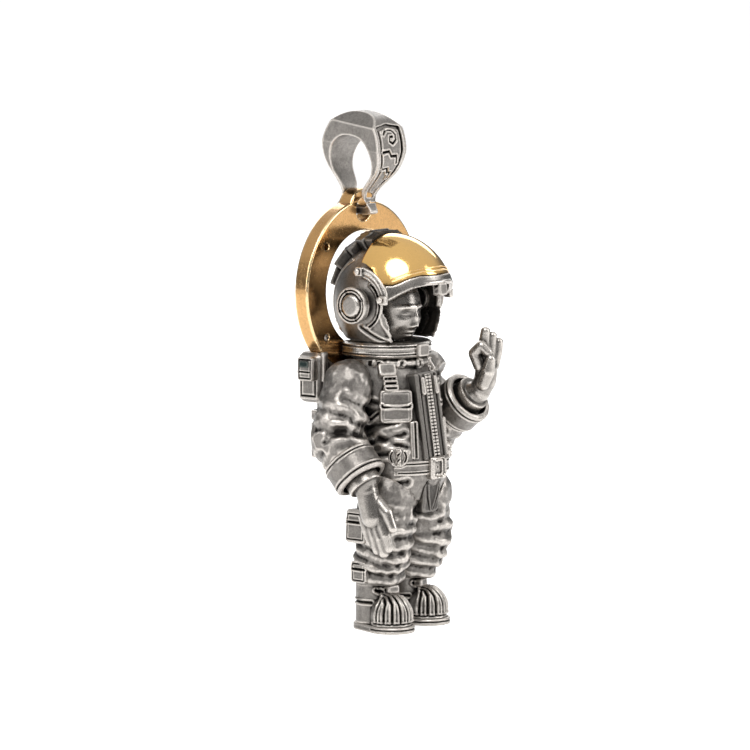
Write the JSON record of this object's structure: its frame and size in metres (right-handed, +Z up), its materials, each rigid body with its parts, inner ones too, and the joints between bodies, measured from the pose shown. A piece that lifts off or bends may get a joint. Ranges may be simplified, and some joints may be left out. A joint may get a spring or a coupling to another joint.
{
  "type": "astronaut pendant figurine",
  "caption": "Small cast metal astronaut with a tipping brass visor, turning helmet, swinging arms, brass halo ring and a hanging bail.",
  "frame": {"origin": "on the floor under the middle of the figure's box, between the boots", "axes": "+Z up along the figure's height, -Y the way the figure faces, +X the figure's left"},
  "size_m": [0.0245, 0.0175, 0.0613],
  "materials": {
    "oxidised_silver": "satin",
    "dark_silver": "matte",
    "polished_silver": "satin",
    "brass": "polished",
    "black_enamel": "gloss"
  },
  "bodies": {
    "figure": {"torso": "oxidised_silver", "shoulder_pins": "polished_silver", "neck_ring": "polished_silver", "neck_clasp": "oxidised_silver", "collar_roll": "dark_silver", "placket": "dark_silver", "zip_strip": "dark_silver", "zip_pulls": "oxidised_silver", "chest_pouch_right": "oxidised_silver", "chest_pouch_left": "oxidised_silver", "chest_strap_right": "oxidised_silver", "chest_strap_left": "oxidised_silver", "strap_buckle_right": "oxidised_silver", "strap_buckle_left": "oxidised_silver", "lower_strap_right": "oxidised_silver", "lower_strap_left": "oxidised_silver", "hip_dial_right": "polished_silver", "hip_dial_left": "polished_silver", "belt": "oxidised_silver", "belt_buckle": "polished_silver", "sole_right": "oxidised_silver", "sole_left": "oxidised_silver", "boot_right": "oxidised_silver", "boot_left": "oxidised_silver", "leg_right": "oxidised_silver", "leg_left": "oxidised_silver", "thigh_pocket_right": "oxidised_silver", "thigh_pocket_left": "oxidised_silver", "calf_pocket_right": "oxidised_silver", "calf_pocket_left": "oxidised_silver", "ankle_buckles": "oxidised_silver", "groin_panel": "dark_silver", "halo_ring": "brass", "ring_pins": "polished_silver", "backpack": "oxidised_silver", "control_box": "oxidised_silver", "control_screen": "black_enamel", "pack_rails": "oxidised_silver", "hose_stack": "dark_silver", "hose_bracket": "dark_silver"},
    "head": {"helmet_shell": "oxidised_silver", "hood_liner": "dark_silver", "face_mask": "polished_silver", "crest_plates": "dark_silver", "ear_pod_right": "oxidised_silver", "ear_pod_left": "oxidised_silver", "ear_caps": "polished_silver"},
    "visor": {"visor_dome": "brass", "visor_frame": "polished_silver", "visor_latch": "oxidised_silver", "frame_studs": "polished_silver"},
    "arm_right": {"sleeve_right": "oxidised_silver", "cuff_right": "oxidised_silver", "glove_right": "polished_silver"},
    "arm_left": {"sleeve_left": "oxidised_silver", "cuff_left": "oxidised_silver", "glove_left": "polished_silver"},
    "bail_loop": {"bail": "oxidised_silver", "bail_inlay": "oxidised_silver"}
  },
  "joints": [
    {"name": "neck_turn", "type": "hinge", "parent": "figure", "child": "head", "pos_m": [0, 0.0007, 0.0335], "axis": [0, 0, 1], "range_deg": [-12, 12]},
    {"name": "visor_tip", "type": "hinge", "parent": "head", "child": "visor", "pos_m": [0, 0, 0.0388], "axis": [1, 0, 0], "range_deg": [0, 50]},
    {"name": "shoulder_right", "type": "hinge", "parent": "figure", "child": "arm_right", "pos_m": [-0.0073, 0.0006, 0.0296], "axis": [-1, 0, 0], "range_deg": [0, 70]},
    {"name": "shoulder_left", "type": "hinge", "parent": "figure", "child": "arm_left", "pos_m": [0.0073, 0.0006, 0.0296], "axis": [-1, 0, 0], "range_deg": [0, 25]},
    {"name": "bail_swing", "type": "hinge", "parent": "figure", "child": "bail_loop", "pos_m": [0, 0.0051, 0.0495], "axis": [1, 0, 0], "range_deg": [-20, 0]}
  ]
}
